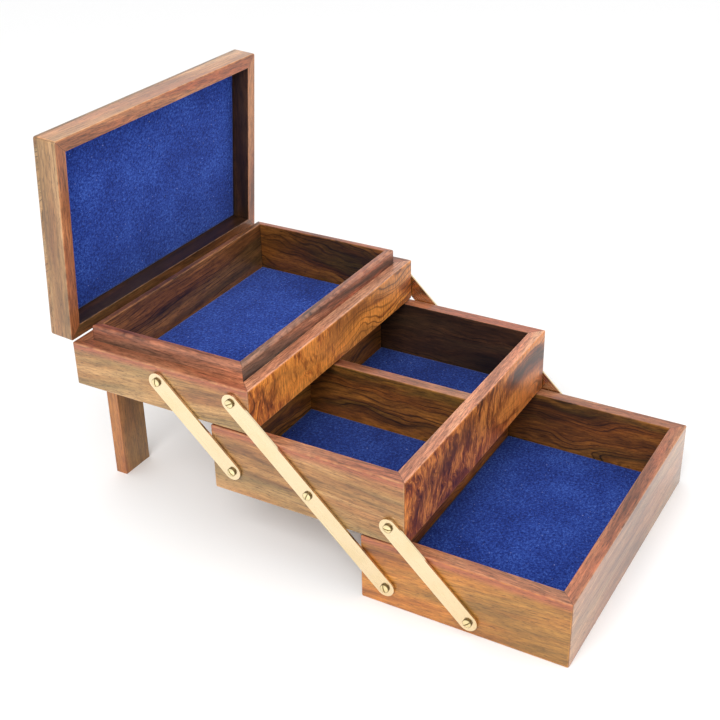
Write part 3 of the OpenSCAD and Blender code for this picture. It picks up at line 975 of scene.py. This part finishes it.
def felt_heights(width, length, nx, ny, thick, seed):
    """Rows of points on a felt's upper side: rolled edges, slow waves and an uneven pile."""
    rng = random.Random(seed)
    slow = [(rng.uniform(20, 60), rng.uniform(20, 60), rng.uniform(0, 6)) for _ in range(WAVES)]
    rows = []
    for j in range(ny + 1):
        row = []
        for i in range(nx + 1):
            x, y = width * (i / nx - 0.5), length * (j / ny - 0.5)
            inset = min(width / 2 - abs(x), length / 2 - abs(y))
            edge = min(1.0, inset / FELT_EDGE)
            roll = math.sqrt(max(0.0, 1 - (1 - edge) ** 2))
            wave = sum(math.sin(a * x + b * y + c) for a, b, c in slow) / WAVES
            pile = rng.uniform(-1, 1)
            z = thick * (EDGE_HEIGHT + ROLL_HEIGHT * roll)
            z += WAVE_HEIGHT * wave + PILE_HEIGHT * pile * edge
            row.append((x, y, z))
        rows.append(row)
    return rows


def felt_sheet(name, node, body, width, length, thick, matrix, seed):
    """A felt sheet with soft edges and an uneven pile, lying in its frame's XY plane."""
    nx, ny = max(8, round(width / FELT_PITCH)), max(8, round(length / FELT_PITCH))
    mesh = bpy.data.meshes.new(name)
    bm = bmesh.new()
    points = felt_heights(width, length, nx, ny, thick, seed)
    top = [[bm.verts.new(point) for point in row] for row in points]
    low = [[bm.verts.new((x, y, 0)) for x, y, _ in row] for row in points]
    for rows, flip in ((top, False), (low, True)):
        for j in range(ny):
            for i in range(nx):
                quad = [rows[j][i], rows[j][i + 1], rows[j + 1][i + 1], rows[j + 1][i]]
                bm.faces.new(list(reversed(quad)) if flip else quad)
    ring = [(0, i) for i in range(nx)] + [(j, nx) for j in range(ny)]
    ring += [(ny, i) for i in range(nx, 0, -1)] + [(j, 0) for j in range(ny, 0, -1)]
    for (j0, i0), (j1, i1) in zip(ring, ring[1:] + ring[:1]):
        bm.faces.new((top[j0][i0], low[j0][i0], low[j1][i1], top[j1][i1]))
    bmesh.ops.recalc_face_normals(bm, faces=bm.faces)
    obj = object_of(name, mesh, bm)
    obj.matrix_world = matrix
    # The middle tray's felt takes painted shade
    felt_painted_shade = PAINTED_FELT_SHADE if body == "middle_tray" else 1.0
    finish_piece(obj, node, body, [felt(f"{name}_felt", seed, felt_painted_shade)])


def floor_felt(node, tray, seed):
    """Felt on the floor of a tray or of one of its compartments."""
    low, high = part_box(node)
    size = high - low
    middle = (low + high) / 2
    at = Matrix.Translation((middle.x, middle.y, low.z))
    felt_sheet(f"sheet_{node}", node, f"{tray}_tray", size.x, size.y, size.z, at, seed)


floor_felt("base_felt", "base", 1)
floor_felt("middle_left_felt", "middle", 2)
floor_felt("middle_right_felt", "middle", 3)
floor_felt("upper_felt", "upper", 4)


def lid_felt(seed):
    """Felt on the inside of the lid's panel, facing down when the lid is closed."""
    width = size_of("lid_felt").x
    gap = (TRAY_W - 2 * LID_WALL - width) / 2
    length = TRAY_D - 2 * LID_WALL - 2 * gap
    over = Matrix.Rotation(math.pi, 4, "X")
    matrix = LID_FRAME @ Matrix.Translation((0, 0, LID_BOARD_H)) @ over
    felt_sheet("sheet_lid_felt", "lid_felt", "lid", width, length, LID_FELT_T, matrix, seed)


lid_felt(5)

# ---------------------------------------------------------------- CAD nodes that stay


def dress(node, material, bevel=0.0, segments=2):
    """Gives a CAD node its material, and soft edges by a modifier."""
    obj = frame["nodes"][node]
    obj.data.materials.clear()
    obj.data.materials.append(material)
    if bevel > 0:
        modifier = obj.modifiers.new("soft_edges", "BEVEL")
        modifier.width = bevel
        modifier.segments = segments
        modifier.limit_method = "ANGLE"
        modifier.angle_limit = math.radians(40)
        modifier.harden_normals = True


# How the screws' brass differs from the links', and bevels of the fittings
SCREW_LOOK = {"tint": "#F0DFAE", "dull": "#C9AC6A", "rough": 0.24, "scratch": 1400}
LINK_BEVEL = 0.3 * MM
LEAF_BEVEL = 0.15 * MM
PIVOT_BEVEL = 0.12 * MM
SCREW_BEVEL = 0.1 * MM
LEG_BEVEL = 0.8 * MM
BOTTOM_GLOSS = 0.5

lower = Vector(JOINTS["fold"]["pos_m"])
higher = Vector(JOINTS["upper_tray_level"]["pos_m"])
LINK_LEAN = math.atan2(higher.z - lower.z, higher.y - lower.y)
# Depth below the screws' heads at which the painted shade starts
HEAD_ABOVE_SHADE = 0.83 * MM
link_brass = brass("link_brass", lean=-LINK_LEAN)
screw_brass = brass("screw_brass", **SCREW_LOOK)
pivot_brass = brass("pivot_brass", shaded_inside=CAD_HIGH[0] - HEAD_ABOVE_SHADE, **SCREW_LOOK)
hinge_brass = brass("hinge_brass", tint="#DCC285", dull="#B0924F", rough=0.28)
for hand in ("left", "right"):
    for kind in ("long", "rear", "front"):
        dress(f"{hand}_{kind}_link", link_brass, LINK_BEVEL, 3)
    dress(f"{hand}_case_leaf", hinge_brass, LEAF_BEVEL)
    dress(f"{hand}_lid_leaf", hinge_brass, LEAF_BEVEL)
    leg_wood = wood(f"{hand}_leg", "leg", LEG_SEED + len(hand), axis="z")
    dress(f"{hand}_leg", leg_wood, LEG_BEVEL, 3)
for tray in ("base", "middle", "upper"):
    dress(f"{tray}_pivot_screws", pivot_brass, PIVOT_BEVEL)
    dress(f"{tray}_washers", screw_brass, SCREW_BEVEL)
    bottom_wood = wood(f"{tray}_bottom", "plain", BOTTOM_SEED + len(tray), "wavy", BOTTOM_GLOSS)
    dress(f"{tray}_bottom_board", bottom_wood)
for node in ("leg_screws", "case_leaf_screws", "lid_leaf_screws"):
    dress(node, screw_brass, SCREW_BEVEL)
dress("hinge_pins", hinge_brass)
